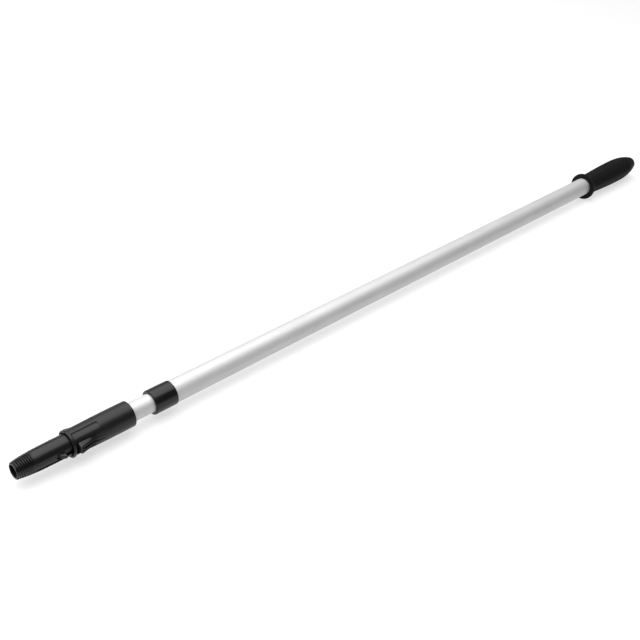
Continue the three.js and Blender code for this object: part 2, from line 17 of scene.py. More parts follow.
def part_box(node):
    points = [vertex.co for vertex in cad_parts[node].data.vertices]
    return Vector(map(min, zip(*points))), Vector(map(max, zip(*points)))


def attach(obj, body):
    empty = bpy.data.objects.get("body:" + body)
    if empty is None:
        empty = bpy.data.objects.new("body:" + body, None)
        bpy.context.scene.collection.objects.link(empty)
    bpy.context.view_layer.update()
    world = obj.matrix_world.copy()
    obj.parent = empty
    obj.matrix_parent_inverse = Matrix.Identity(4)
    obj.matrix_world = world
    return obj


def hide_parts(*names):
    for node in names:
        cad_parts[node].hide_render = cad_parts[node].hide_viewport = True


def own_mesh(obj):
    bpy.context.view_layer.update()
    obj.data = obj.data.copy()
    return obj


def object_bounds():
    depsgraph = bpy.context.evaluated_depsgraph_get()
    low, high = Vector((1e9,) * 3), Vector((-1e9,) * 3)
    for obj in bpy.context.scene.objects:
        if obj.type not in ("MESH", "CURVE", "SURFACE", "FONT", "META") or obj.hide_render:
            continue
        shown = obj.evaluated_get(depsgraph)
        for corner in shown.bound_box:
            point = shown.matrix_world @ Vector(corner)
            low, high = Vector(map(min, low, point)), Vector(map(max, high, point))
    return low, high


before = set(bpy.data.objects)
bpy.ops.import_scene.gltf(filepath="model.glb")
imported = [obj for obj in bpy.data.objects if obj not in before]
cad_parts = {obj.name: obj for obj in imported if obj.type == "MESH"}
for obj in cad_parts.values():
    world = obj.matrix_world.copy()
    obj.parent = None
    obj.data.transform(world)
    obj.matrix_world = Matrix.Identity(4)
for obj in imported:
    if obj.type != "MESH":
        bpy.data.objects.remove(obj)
cad_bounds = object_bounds()

MM = 0.001
GAP = 0.3


def corners(node):
    """A CAD node's lowest and highest corners, in millimetres."""
    low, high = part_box(node)
    return np.array(low) / MM, np.array(high) / MM


# ---------------------------------------------------------------- measures taken from the CAD

nose_low, nose_high = corners("nose_core")
sleeve_low, sleeve_high = corners("fitting_sleeve")
inner_low, inner_high = corners("inner_tube")
outer_low, outer_high = corners("outer_tube")
collar_low, collar_high = corners("front_collar")
bush_low, bush_high = corners("guide_bush")
grip_low, grip_high = corners("soft_grip")
plug_low, plug_high = corners("tube_end_plug")
latch_low, latch_high = corners("latch_right")
pin_low, pin_high = corners("pivot_pin_right")
spring_low, spring_high = corners("latch_spring_right")

INNER_R = inner_high[2]
OUTER_R = outer_high[2]
OUTER_WALL = 1.2
INNER_WALL = 1.1
OUTER_BORE_R = OUTER_R - OUTER_WALL
INNER_BORE_R = INNER_R - INNER_WALL
LIP_X = sleeve_low[0]
LIP_R = 14.9
COLLAR_R = collar_high[2]
FLANGE_X = grip_low[0]
GRIP_END_X = grip_high[0]
TIP_X = nose_low[0]
PIVOT_X = (pin_low[0] + pin_high[0]) / 2
PIVOT_Y = (pin_low[1] + pin_high[1]) / 2
PIVOT_R = (pin_high[0] - pin_low[0]) / 2
SCREW_XS = [sum(corners(n)[k][0] for k in (0, 1)) / 2 for n in ("sleeve_screw_front", "sleeve_screw_rear")]

# ---------------------------------------------------------------- mesh tools


def circle(sides):
    return np.linspace(0, 2 * math.pi, sides, endpoint=False)


def smoothstep(low, high, value):
    t = np.clip((value - low) / (high - low), 0, 1)
    return t * t * (3 - 2 * t)


def elevation(angles):
    """Degrees above or below the horizontal plane, from 0 at +-Y to 90 at the top and bottom."""
    return np.degrees(np.arcsin(np.abs(np.sin(angles))))


def mesh_object(name, points, faces):
    mesh = bpy.data.meshes.new(name)
    mesh.from_pydata([tuple(p) for p in points], [], [tuple(f) for f in faces])
    obj = bpy.data.objects.new(name, mesh)
    bpy.context.scene.collection.objects.link(obj)
    turn_outwards(obj)
    return obj


def turn_outwards(obj):
    bm = bmesh.new()
    bm.from_mesh(obj.data)
    bmesh.ops.remove_doubles(bm, verts=bm.verts, dist=1e-5)
    bmesh.ops.recalc_face_normals(bm, faces=bm.faces)
    if bm.calc_volume(signed=True) < 0:
        bmesh.ops.reverse_faces(bm, faces=bm.faces)
    bm.to_mesh(obj.data)
    bm.free()


def soften(profile, radius, steps=4):
    """Rounds the corners of a profile of (x, r) points. A third number is that corner's own radius.
    A profile that starts off the axis is a loop."""
    loop = profile[0][1] > 0
    count = len(profile)
    out = []
    for i, point in enumerate(profile):
        here = np.array(point[:2], float)
        if not loop and i in (0, count - 1):
            out.append(tuple(here))
            continue
        before = np.array(profile[i - 1][:2], float) - here
        after = np.array(profile[(i + 1) % count][:2], float) - here
        shorter = min(np.linalg.norm(before), np.linalg.norm(after))
        before /= np.linalg.norm(before)
        after /= np.linalg.norm(after)
        half = math.acos(float(np.clip(before @ after, -1, 1))) / 2
        wanted = point[2] if len(point) > 2 else radius
        reach = min(wanted / max(math.tan(half), 1e-6), 0.48 * shorter)
        if half > math.radians(88) or wanted == 0:
            out.append(tuple(here))
            continue
        for t in np.linspace(0, 1, steps + 1):
            at = here + before * reach * (1 - t) ** 2 + after * reach * t ** 2
            out.append(tuple(at))
    return out


def turned(name, rows, angles=None):
    """Turns rows of (x, r) about the pole's axis. r, or x, may be an array with a value for each angle.
    Rows that start on the axis also end on it; other rows are a loop."""
    angles = circle(128) if angles is None else angles
    on_axis = np.isscalar(rows[0][1]) and rows[0][1] == 0
    body = rows[1:-1] if on_axis else rows
    ones = np.ones_like(angles)
    grid = np.array([
        np.stack([x * ones, r * np.cos(angles), r * np.sin(angles)], axis=1) for x, r in body
    ])
    points = grid.reshape(-1, 3)
    index = np.arange(len(points)).reshape(grid.shape[:2])
    if not on_axis:
        index = np.vstack([index, index[:1]])
    beside = np.roll(index, -1, axis=1)
    quads = np.stack([index[:-1], index[1:], beside[1:], beside[:-1]], axis=-1).reshape(-1, 4)
    faces = quads.tolist()
    if on_axis:
        first, last = len(points), len(points) + 1
        points = np.vstack([points, [rows[0][0], 0, 0], [rows[-1][0], 0, 0]])
        faces += [(first, a, b) for a, b in zip(index[0], beside[0])]
        faces += [(last, b, a) for a, b in zip(index[-1], beside[-1])]
    return mesh_object(name, points, faces)


def rod(x0, x1, radius, sides=48):
    return turned("rod", [(x0, 0), (x0, radius), (x1, radius), (x1, 0)], circle(sides))


def loft(name, sections):
    """A closed solid through sections, each a ring of as many points."""
    rings = np.array(sections, float)
    count = rings.shape[1]
    points = rings.reshape(-1, 3)
    index = np.arange(len(points)).reshape(rings.shape[:2])
    beside = np.roll(index, -1, axis=1)
    quads = np.stack([index[:-1], index[1:], beside[1:], beside[:-1]], axis=-1).reshape(-1, 4)
    faces = quads.tolist() + [list(range(count)), list(range(len(points) - 1, len(points) - 1 - count, -1))]
    return mesh_object(name, points, faces)


def plate_y(name, outline, y0, y1):
    """A plate whose outline of (x, z) points is seen along Y."""
    return loft(name, [[(x, y, z) for x, z in outline] for y in (y0, y1)])


def plate_z(name, outline, half):
    """A plate whose outline of (x, y) points is seen along Z."""
    return loft(name, [[(x, y, z) for x, y in outline] for z in (-half, half)])


def slot_outline(front, rear, half, corner, rear_half=None, steps=10):
    """(x, z) points of an outline with round front corners, which may taper to the rear."""
    turn = np.linspace(math.pi / 2, math.pi, steps)
    upper = [(front + corner + corner * math.cos(a), half - corner + corner * math.sin(a)) for a in turn]
    points = [(rear, rear_half or half)] + upper
    return points + [(x, -z) for x, z in reversed(points)]


def moved(obj, matrix):
    obj.data.transform(matrix)
    if matrix.to_3x3().determinant() < 0:
        obj.data.flip_normals()
    return obj


HALF_TURN = Matrix.Rotation(math.pi, 4, "X")


def copied(obj, matrix=Matrix.Identity(4)):
    twin = obj.copy()
    twin.data = obj.data.copy()
    bpy.context.scene.collection.objects.link(twin)
    return moved(twin, matrix)


def both_sides(obj):
    return [obj, copied(obj, HALF_TURN)]


def upright(obj, x, y=0.0):
    """A solid turned about X, with its axis moved to Z at a point on the pole."""
    return moved(obj, Matrix.Translation((x, y, 0)) @ Matrix.Rotation(-math.pi / 2, 4, "Y"))


def apply_modifiers(obj):
    graph = bpy.context.evaluated_depsgraph_get()
    graph.update()
    mesh = bpy.data.meshes.new_from_object(obj.evaluated_get(graph))
    obj.modifiers.clear()
    obj.data = mesh
    return obj


def carve(obj, tools, operation="DIFFERENCE"):
    for tool in tools:
        step = obj.modifiers.new("carve", "BOOLEAN")
        step.operation = operation
        step.solver = "EXACT"
        step.object = tool
    apply_modifiers(obj)
    for tool in tools:
        bpy.data.objects.remove(tool)
    return obj


def bevelled(obj, width, segments=3, angle=30):
    step = obj.modifiers.new("edge", "BEVEL")
    step.width = width
    step.segments = segments
    step.limit_method = "ANGLE"
    step.angle_limit = math.radians(angle)
    return apply_modifiers(obj)


def settle(obj, name, body, material, nodes, sharp=32):
    """Scales a finished piece to metres, names it, gives it its material, hangs it on the body it rides on
    and hides the CAD nodes it stands for.
    """
    obj.name = name
    obj.data.name = name
    obj.data.transform(Matrix.Scale(MM, 4))
    obj.data.shade_smooth()
    obj.data.set_sharp_from_angle(angle=math.radians(sharp))
    obj.data.materials.clear()
    obj.data.materials.append(material)
    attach(obj, body)
    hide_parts(*nodes)
    return obj


# ---------------------------------------------------------------- materials


class Shader:
    """A material with one Principled shader, and short calls for its nodes."""

    def __init__(self, name, **sockets):
        self.material = bpy.data.materials.new(name)
        self.material.use_nodes = True
        self.tree = self.material.node_tree
        self.principled = next(n for n in self.tree.nodes if n.type == "BSDF_PRINCIPLED")
        for socket, value in sockets.items():
            self.principled.inputs[socket.replace("_", " ")].default_value = value
        self.place = self.node("ShaderNodeTexCoord").outputs["Object"]

    def node(self, kind, **inputs):
        made = self.tree.nodes.new(kind)
        for name, value in inputs.items():
            self.put(made.inputs[name.replace("_", " ")], value)
        return made

    def put(self, socket, value):
        if isinstance(value, bpy.types.NodeSocket):
            self.tree.links.new(value, socket)
        else:
            socket.default_value = value

    def noise(self, scale, detail=3.0, roughness=0.55, stretch=(1, 1, 1)):
        mapped = self.node("ShaderNodeMapping", Vector=self.place, Scale=stretch).outputs["Vector"]
        made = self.node(
            "ShaderNodeTexNoise", Vector=mapped, Scale=scale, Detail=detail, Roughness=roughness)
        return made.outputs["Fac"]

    def ranged(self, value, low, high, start=0.3, end=0.7):
        made = self.node("ShaderNodeMapRange", Value=value)
        for name, number in (("From Min", start), ("From Max", end), ("To Min", low), ("To Max", high)):
            made.inputs[name].default_value = number
        return made.outputs["Result"]

    def mixed(self, factor, first, second):
        made = self.tree.nodes.new("ShaderNodeMix")
        made.data_type = "RGBA"
        self.put(made.inputs[0], factor)
        self.put(made.inputs[6], first)
        self.put(made.inputs[7], second)
        return made.outputs[2]

    def bump(self, height, distance, strength=1.0, under=None):
        made = self.node("ShaderNodeBump", Height=height, Distance=distance, Strength=strength)
        if under is not None:
            self.put(made.inputs["Normal"], under)
        return made.outputs["Normal"]

    def finish(self, **inputs):
        for name, value in inputs.items():
            self.put(self.principled.inputs[name.replace("_", " ")], value)
        return self.material


def grey(value, warm=0.0):
    return (value * (1 + warm), value, value * (1 - warm), 1.0)


def satin_aluminium(name, seed):
    """Drawn and anodised tube: fine lines along it, a faint mottle, and a few rubbed streaks."""
    shader = Shader(name, Metallic=0.8)
    shader.place = shader.node(
        "ShaderNodeMapping", Vector=shader.place, Location=(seed, seed, seed)).outputs["Vector"]
    lines = shader.noise(900, 2, stretch=(0.02, 1, 1))
    mottle = shader.noise(60, 4, stretch=(0.4, 1, 1))
    rubbed = shader.noise(220, 5, 0.7, stretch=(0.05, 1, 1))
    colour = shader.mixed(shader.ranged(mottle, 0, 1), grey(0.57), grey(0.61))
    colour = shader.mixed(shader.ranged(rubbed, 0, 0.5, 0.62, 0.75), colour, grey(0.52))
    normal = shader.bump(lines, 0.00001, 0.35)
    normal = shader.bump(shader.noise(2600, 2), 0.000006, 0.3, normal)
    return shader.finish(
        Base_Color=colour,
        Roughness=shader.ranged(lines, 0.64, 0.72),
        Normal=normal,
    )


def moulded_black(name, tone, rough_low, rough_high, grain=0.00003):
    """Black nylon moulding: spark-eroded grain, faint flow clouds and a few pale scuffs."""
    shader = Shader(name, Specular_IOR_Level=0.31)
    cloud = shader.noise(45, 4)
    grains = shader.noise(2200, 3)
    scuff = shader.noise(420, 6, 0.75, stretch=(0.5, 1, 1))
    colour = shader.mixed(shader.ranged(cloud, 0, 1), grey(tone), grey(tone * 1.35, -0.02))
    colour = shader.mixed(shader.ranged(scuff, 0, 0.6, 0.66, 0.8), colour, grey(tone * 4))
    normal = shader.bump(grains, grain, 0.6)
    normal = shader.bump(cloud, grain * 3, 0.3, normal)
    return shader.finish(
        Base_Color=colour,
        Roughness=shader.ranged(grains, rough_low, rough_high),
        Normal=normal,
    )


def grip_rubber():
    """Soft black rubber: matt, finely pitted, a little dusty."""
    shader = Shader("grip_rubber", Specular_IOR_Level=0.16)
    pits = shader.noise(1500, 4, 0.65)
    cloud = shader.noise(35, 5)
    dust = shader.noise(300, 6, 0.7)
    colour = shader.mixed(shader.ranged(cloud, 0, 1), grey(0.0028), grey(0.004))
    colour = shader.mixed(shader.ranged(dust, 0, 0.5, 0.6, 0.8), colour, grey(0.013, 0.03))
    return shader.finish(
        Base_Color=colour,
        Roughness=shader.ranged(pits, 0.62, 0.8),
        Normal=shader.bump(pits, 0.00006, 0.7),
    )


def natural_nylon():
    """Undyed nylon: milky, with faint clouds."""
    shader = Shader("natural_nylon", Subsurface_Weight=0.15, Subsurface_Scale=0.002)
    cloud = shader.noise(120, 4)
    fine = shader.noise(1800, 2)
    return shader.finish(
        Base_Color=shader.mixed(shader.ranged(cloud, 0, 1), (0.66, 0.64, 0.57, 1), (0.74, 0.72, 0.66, 1)),
        Roughness=shader.ranged(fine, 0.42, 0.56),
        Normal=shader.bump(fine, 0.00002, 0.5),
    )


def zinc_steel():
    """Zinc-plated steel with faint spangle and turning lines."""
    shader = Shader("zinc_steel", Metallic=1.0)
    spangle = shader.noise(900, 3)
    turning = shader.noise(2400, 1, stretch=(0.1, 0.1, 1))
    return shader.finish(
        Base_Color=shader.mixed(shader.ranged(spangle, 0, 1), (0.52, 0.54, 0.56, 1), (0.66, 0.67, 0.68, 1)),
        Roughness=shader.ranged(spangle, 0.26, 0.42),
        Normal=shader.bump(turning, 0.00001, 0.5),
    )


OUTER_ALUMINIUM = satin_aluminium("satin_aluminium_outer", 0.0)
INNER_ALUMINIUM = satin_aluminium("satin_aluminium_inner", 3.7)
BLACK_MOULDING = moulded_black("black_moulding", 0.005, 0.32, 0.40)
NOSE_BLACK = moulded_black("black_moulding_nose", 0.005, 0.24, 0.30, 0.000015)
COLLAR_BLACK = moulded_black("collar_black", 0.004, 0.22, 0.28, 0.000008)
GRIP_RUBBER = grip_rubber()
NYLON = natural_nylon()
STEEL = zinc_steel()

# ---------------------------------------------------------------- camera and light

CAMERA_AT = Vector((-0.3438, -0.7078, 0.5889))
CAMERA_AZIMUTH = 45.593
CAMERA_PITCH = -30.857
CAMERA_SWING = -4.5
CAMERA_LENS = 53.77
WORLD_LIGHT = 0.13
FLOOR_GLOW = 0.64
FLOOR_HALF = 9.0


def place_camera():
    """The camera, aimed by azimuth and pitch, and then swung about the pole's axis as a whole."""
    data = bpy.data.cameras.new("camera")
    data.lens = CAMERA_LENS
    data.sensor_width = 36
    data.clip_start = 0.01
    data.clip_end = 100
    camera = bpy.data.objects.new("camera", data)
    aim = Euler((math.radians(90 + CAMERA_PITCH), 0, math.radians(CAMERA_AZIMUTH - 90)))
    swing = Matrix.Rotation(math.radians(CAMERA_SWING), 4, "X")
    camera.matrix_world = swing @ Matrix.Translation(CAMERA_AT) @ aim.to_matrix().to_4x4()
    bpy.context.scene.collection.objects.link(camera)
    bpy.context.scene.camera = camera


def soft_sun(name, azimuth, height, strength, spread):
    """A far, wide softbox: light that comes from an azimuth and a height in degrees."""
    data = bpy.data.lights.new(name, "SUN")
    data.energy = strength
    data.angle = math.radians(spread)
    lamp = bpy.data.objects.new(name, data)
    lamp.rotation_euler = (math.radians(90 - height), 0, math.radians(azimuth + 90))
    bpy.context.scene.collection.objects.link(lamp)


def softbox(name, centre, size, power):
    """A rectangular lamp that hangs level over the scene."""
    data = bpy.data.lights.new(name, "AREA")
    data.shape = "RECTANGLE"
    data.size, data.size_y = size
    data.energy = power
    lamp = bpy.data.objects.new(name, data)
    lamp.location = centre
    bpy.context.scene.collection.objects.link(lamp)


def light_studio():
    """Wide lamps overhead, a narrow one for the streak on glossy parts, and a weak one behind."""
    scene = bpy.context.scene
    scene.view_settings.view_transform = "Standard"
    world = bpy.data.worlds.new("studio")
    world.use_nodes = True
    background = world.node_tree.nodes["Background"]
    background.inputs["Color"].default_value = (1, 1, 1, 1)
    background.inputs["Strength"].default_value = WORLD_LIGHT
    scene.world = world
    soft_sun("overhead_softbox", 93, 86, 1.2, 84)
    soft_sun("overhead_strip", 90, 86, 0.42, 16)
    soft_sun("backdrop", 90, 12, 0.15, 60)
    softbox("fitting_softbox", (-0.1, 0.65, 1.2), (3.0, 2.4), 46)


def lay_floor():
    """A sheet of pale paper under the pole."""
    z = cad_bounds[0][2]
    mesh = bpy.data.meshes.new("floor")
    centre = (cad_bounds[0] + cad_bounds[1]) / 2
    signs = ((-1, -1), (1, -1), (1, 1), (-1, 1))
    mesh.from_pydata(
        [(centre[0] + i * FLOOR_HALF, centre[1] + j * FLOOR_HALF, z) for i, j in signs],
        [], [(0, 1, 2, 3)])
    floor = bpy.data.objects.new("floor", mesh)
    bpy.context.scene.collection.objects.link(floor)
    shader = Shader("floor_paper", Emission_Color=(1, 1, 1, 1), Emission_Strength=FLOOR_GLOW)
    paper = shader.noise(40, 5)
    mesh.materials.append(shader.finish(
        Base_Color=shader.mixed(shader.ranged(paper, 0, 1), grey(0.31), grey(0.33)),
        Roughness=0.9,
    ))


place_camera()
light_studio()
lay_floor()

# ---------------------------------------------------------------- tubes and collar


SCREW_HOLE_R = 1.5
CLEARANCE = 0.08


def pin_hole(x, radius):
    """A cutter along Y through the tube."""
    return moved(rod(-20, 20, radius), Matrix.Translation((x, 0, 0)) @ Matrix.Rotation(math.pi / 2, 4, "Z"))


def outer_tube():
    return turned("outer_tube", soften([
        (outer_low[0], OUTER_BORE_R),
        (outer_low[0], OUTER_R),
        (outer_high[0], OUTER_R),
        (outer_high[0], OUTER_BORE_R),
    ], 0.25), circle(144))


def inner_tube():
    tube = turned("inner_tube", soften([
        (inner_low[0], INNER_BORE_R),
        (inner_low[0], INNER_R),
        (inner_high[0], INNER_R),
        (inner_high[0], INNER_BORE_R),
    ], 0.25), circle(144))
    screws = [upright(rod(-2 * INNER_R, 0, SCREW_HOLE_R), x) for x in SCREW_XS]
    low, high = corners("plug_pin")
    return carve(tube, screws + [pin_hole((low[0] + high[0]) / 2, (high[0] - low[0]) / 2 + CLEARANCE)])


def front_collar():
    """A smooth cap on the fat tube's mouth, with a step in front of the bush."""
    step = bush_low[0] - 0.2
    return turned("front_collar", soften([
        (collar_low[0], INNER_R + 0.3, 0.4),
        (collar_low[0], COLLAR_R, 3.2),
        (collar_high[0], COLLAR_R, 1.2),
        (collar_high[0], OUTER_R + 0.1, 0.2),
        (step, OUTER_R + 0.1, 0.2),
        (step, INNER_R + 0.3, 0.2),
    ], 0.3, 8), circle(160))


settle(outer_tube(), "outer_tube_drawn", "outer_section", OUTER_ALUMINIUM,
       ["outer_tube"])
settle(inner_tube(), "inner_tube_drawn", "inner_section", INNER_ALUMINIUM,
       ["inner_tube"])
settle(front_collar(), "front_collar_turned", "outer_section", COLLAR_BLACK,
       ["front_collar"])

# ---------------------------------------------------------------- grip

FLANGE_R = 20.1
FLANGE_RIM = 2.0
NECK = 11.0
NECK_R = 15.2
SWELL = 89.0
SWELL_R = 17.6
GRIP_END_R = 9.3
RIB_PITCH = 5.95
RIB_COUNT = 18
RIBS_FROM = 11.5
RIBS_TO = RIBS_FROM + RIB_COUNT * RIB_PITCH
GRIP_END_ROUND = 1.2
RIB_DEPTH = 1.3
RIB_PANEL_ANGLE = 52.5
RIB_PANEL_HALF = 27.5


def grip_radius(along):
    """The grip's radius at a distance behind its flange: flare, neck, slow swell and rounded taper."""
    length = GRIP_END_X - FLANGE_X
    flare = (NECK_R + (FLANGE_R - NECK_R) * 0.5
             * (1 + math.cos(math.pi * max((along - FLANGE_RIM) / (NECK - FLANGE_RIM), 0))))
    if along < NECK:
        return flare
    if along < SWELL:
        return NECK_R + (SWELL_R - NECK_R) * math.sin((along - NECK) / (SWELL - NECK) * math.pi / 2)
    return SWELL_R - (SWELL_R - GRIP_END_R) * ((along - SWELL) / (length - SWELL)) ** 2.5


def rib_depth(along, angles):
    """Four panels of cross grooves round the grip, with plain bands between them."""
    off = np.abs((np.degrees(angles) - RIB_PANEL_ANGLE + 45) % 90 - 45)
    panel = 1 - smoothstep(RIB_PANEL_HALF - 4, RIB_PANEL_HALF + 3, off)
    if not RIBS_FROM < along < RIBS_TO:
        return 0 * angles
    wave = 0.5 - 0.5 * math.cos(2 * math.pi * (along - RIBS_FROM) / RIB_PITCH)
    return RIB_DEPTH * smoothstep(0.25, 0.8, wave) * panel


def soft_grip():
    """The rubber grip: a bore up to the tube's plug, a flange, the ribbed body and a round end."""
    angles = circle(240)
    length = GRIP_END_X - FLANGE_X
    bore = OUTER_R + 0.15
    inside = plug_high[0] + GAP
    stations = np.concatenate([
        np.linspace(FLANGE_RIM, RIBS_FROM - 0.3, 36),
        np.arange(RIBS_FROM, RIBS_TO, 0.25),
        np.linspace(RIBS_TO, length - GRIP_END_ROUND, 40),
    ])
    rows = soften([
        (inside, 0), (inside, bore), (FLANGE_X, bore, 0.35), (FLANGE_X, FLANGE_R, 1.1),
        (FLANGE_X + FLANGE_RIM - 0.2, FLANGE_R, 0), (FLANGE_X + FLANGE_RIM, 0),
    ], 0.5, 6)[:-1]
    end_r = grip_radius(length - GRIP_END_ROUND)
    rows += [(FLANGE_X + x, grip_radius(x) - rib_depth(x, angles)) for x in stations]
    rows += [(GRIP_END_X - 0.7, end_r - 0.5), (GRIP_END_X - 0.25, end_r - 1.3), (GRIP_END_X, end_r - 2.6)]
    rows += [(GRIP_END_X, 0)]
    return turned("soft_grip", rows, angles)


settle(soft_grip(), "soft_grip_ribbed", "outer_section", GRIP_RUBBER, ["soft_grip"], 40)

# ---------------------------------------------------------------- nose

NOSE_R = 11.8
NOSE_TIP_DROP = 2.9
NOSE_TAPER = 12.0
NOSE_BORE_R = 6.9
NOSE_BORE_END = 26.0
THREAD_PITCH = 2.25
THREAD_FROM = 2.2
THREAD_TURNS = 8.6
THREAD_DEPTH = 1.4
CORE_R = 10.9
SPIGOT_R = INNER_BORE_R - 0.15
SPIGOT_BORE_R = 5.0
SPIGOT_BORE_DEPTH = 18.0
NOSE_STEP_X = LIP_X + 2.2
CHANNEL_HALF = 5.4
CHANNEL_DEPTH = 1.0
CHANNEL_REAR_X = -9.6
CHANNEL_RAMP = 2.2
LATCH_SLOT_X = latch_low[0] - 0.6
LATCH_SLOT_HALF = 3.4
WEB_HALF = 1.2
WINDOW_FRONT = 3.2
WINDOW_REAR = 42.8
WINDOW_FRONT_HALF = 7.7
WINDOW_REAR_HALF = 6.3
WINDOW_CORNER = 3.9
POCKET_HALF = 8.0
POCKET_FLOOR_Y = 6.0


def nose_radius(x):
    """The nose's outline: it narrows towards the tip."""
    return NOSE_R - NOSE_TIP_DROP * np.exp(-(x - TIP_X) / NOSE_TAPER)


def thread_depth(x, angles):
    """A right-hand thread's groove, which fades in at the rim and runs out at the shank."""
    turns = (x - TIP_X - THREAD_FROM) / THREAD_PITCH
    wave = 0.5 - 0.5 * np.cos(2 * math.pi * (turns - angles / (2 * math.pi)))
    fade = smoothstep(-0.4, 0.3, turns) * (1 - smoothstep(THREAD_TURNS - 2.6, THREAD_TURNS, turns))
    return THREAD_DEPTH * wave ** 2.0 * fade


def nose_channel():
    """A cutter for the channel in front of a latch: a round floor, chamfered edges and a ramp behind."""
    across = np.linspace(-CHANNEL_HALF, CHANNEL_HALF, 13)
    sections = []
    for x in (*np.linspace(TIP_X - 1, CHANNEL_REAR_X, 24), CHANNEL_REAR_X + CHANNEL_RAMP):
        rise = max(x - CHANNEL_REAR_X, 0) / CHANNEL_RAMP
        surface = float(nose_radius(x))
        floor_r = surface - CHANNEL_DEPTH * (1 - rise) + 0.05 * rise
        edge = math.sqrt(surface ** 2 - CHANNEL_HALF ** 2) - 0.35 * (1 - rise)
        floor = [(x, math.sqrt(floor_r ** 2 - z ** 2), z) for z in across]
        edge = max(edge, floor[0][1] + 0.02)
        sections.append([
            *floor, (x, edge, CHANNEL_HALF + 0.1), (x, edge + 4, CHANNEL_HALF + 4.1),
            (x, edge + 4, -CHANNEL_HALF - 4.1), (x, edge, -CHANNEL_HALF - 0.1),
        ])
    return loft("channel", sections)


def nose_core():
    """The threaded nose with its bore, channels and latch slots, and the spigot in the thin tube."""
    angles = circle(216)
    bore_end = TIP_X + NOSE_BORE_END
    tube_front = inner_low[0] - GAP
    rear = nose_high[0]
    thread_end = TIP_X + THREAD_FROM + THREAD_TURNS * THREAD_PITCH
    rim = float(nose_radius(TIP_X + 0.9))
    head = soften([
        (bore_end, 0), (bore_end, NOSE_BORE_R, 0.5), (TIP_X, NOSE_BORE_R, 0.6), (TIP_X, rim - 0.15, 0.7),
        (TIP_X + 1.2, rim), (TIP_X + 2, 0),
    ], 0.4)[:-1]
    tail = soften([
        (TIP_X, 0), (NOSE_STEP_X, NOSE_R - 0.02, 0.1), (NOSE_STEP_X, CORE_R, 0.1),
        (tube_front, CORE_R), (tube_front, SPIGOT_R), (rear, SPIGOT_R, 1.0), (rear, SPIGOT_BORE_R),
        (rear - SPIGOT_BORE_DEPTH, SPIGOT_BORE_R), (rear - SPIGOT_BORE_DEPTH, 0),
    ], 0.3)[1:]
    rows = head
    threaded = np.arange(TIP_X + 1.4, thread_end + 0.1, 0.16)
    rows += [(x, nose_radius(x) - thread_depth(x, angles)) for x in threaded]
    rows += [(x, float(nose_radius(x))) for x in np.linspace(thread_end + 0.5, LIP_X + 1.8, 24)]
    rows += tail
    body = turned("nose", rows, angles)
    slot = plate_y("slot", slot_outline(LATCH_SLOT_X, WINDOW_REAR, LATCH_SLOT_HALF, LATCH_SLOT_HALF),
                   WEB_HALF, 2 * CORE_R)
    pocket = plate_y("pocket", slot_outline(WINDOW_FRONT, WINDOW_REAR, POCKET_HALF, WINDOW_CORNER),
                     POCKET_FLOOR_Y, 2 * CORE_R)
    pin = upright(rod(-2 * CORE_R, 2 * CORE_R, PIVOT_R + CLEARANCE), PIVOT_X, PIVOT_Y)
    pilots = [upright(rod(-2 * CORE_R, -5, 1.45), x) for x in SCREW_XS]
    tools = both_sides(nose_channel()) + both_sides(slot) + both_sides(pocket) + both_sides(pin) + pilots
    return carve(body, tools)


settle(nose_core(), "nose_threaded", "inner_section", NOSE_BLACK, ["nose_core"])

# ---------------------------------------------------------------- sleeve

LIP_WIDTH = 2.0
GROOVE_DEPTH = 0.55
GROOVE_WIDTH = 1.6
LIP_BORE_R = 13.1
SLEEVE_BORE_R = 11.05
SLEEVE_FRONT_R = 13.8
SLEEVE_REAR_R = 14.4
PANEL_DEPTH = 1.35
PANEL_FROM = 3.6
PANEL_TO = 33.5
PANEL_FADE = 46.0
PANEL_TOP = 79.0
PANEL_CORNER = 1.8
SCREW_HEAD_R = 2.6
SCREW_HEAD_Z = -13.9


def sleeve_radius(x):
    """The sleeve's wall: a groove behind the lip, and a slow swell to the rear."""
    groove = GROOVE_DEPTH * (1 - smoothstep(GROOVE_WIDTH - 0.8, GROOVE_WIDTH + 0.4, x - LIP_X - LIP_WIDTH))
    return SLEEVE_FRONT_R - groove + (SLEEVE_REAR_R - SLEEVE_FRONT_R) * smoothstep(10, 48, x)


def panel_depth(x, angles):
    """Four shallow panels. Each is deepest along its upper edge and runs out into the wall lower down."""
    arc = np.radians(elevation(angles)) * SLEEVE_FRONT_R
    fade, top = (math.radians(a) * SLEEVE_FRONT_R for a in (PANEL_FADE, PANEL_TOP))
    over_x = abs(x - LIP_X - (PANEL_FROM + PANEL_TO) / 2) - (PANEL_TO - PANEL_FROM) / 2 + PANEL_CORNER
    over_a = arc - top + PANEL_CORNER
    outside = np.hypot(np.maximum(over_x, 0), np.maximum(over_a, 0))
    distance = outside + np.minimum(np.maximum(over_x, over_a), 0) - PANEL_CORNER
    slope = np.clip((arc - fade) / (top - fade), 0, 1)
    return PANEL_DEPTH * slope ** 1.2 * (1 - smoothstep(-0.9, 0.1, distance))


def sleeve_window():
    """A cutter for the window that the latch's ear stands in."""
    outline = slot_outline(WINDOW_FRONT, WINDOW_REAR, WINDOW_FRONT_HALF, WINDOW_CORNER, WINDOW_REAR_HALF)
    return plate_y("window", outline, POCKET_FLOOR_Y, 30)


def screw_sink(x):
    """A cutter for a screw's head and hole, from below."""
    return upright(turned("sink", [
        (-30, 0), (-30, SCREW_HEAD_R + 0.15), (SCREW_HEAD_Z + 1.2, SCREW_HEAD_R + 0.15),
        (SCREW_HEAD_Z + 2.4, SCREW_HOLE_R), (0, SCREW_HOLE_R), (0, 0),
    ], circle(48)), x)


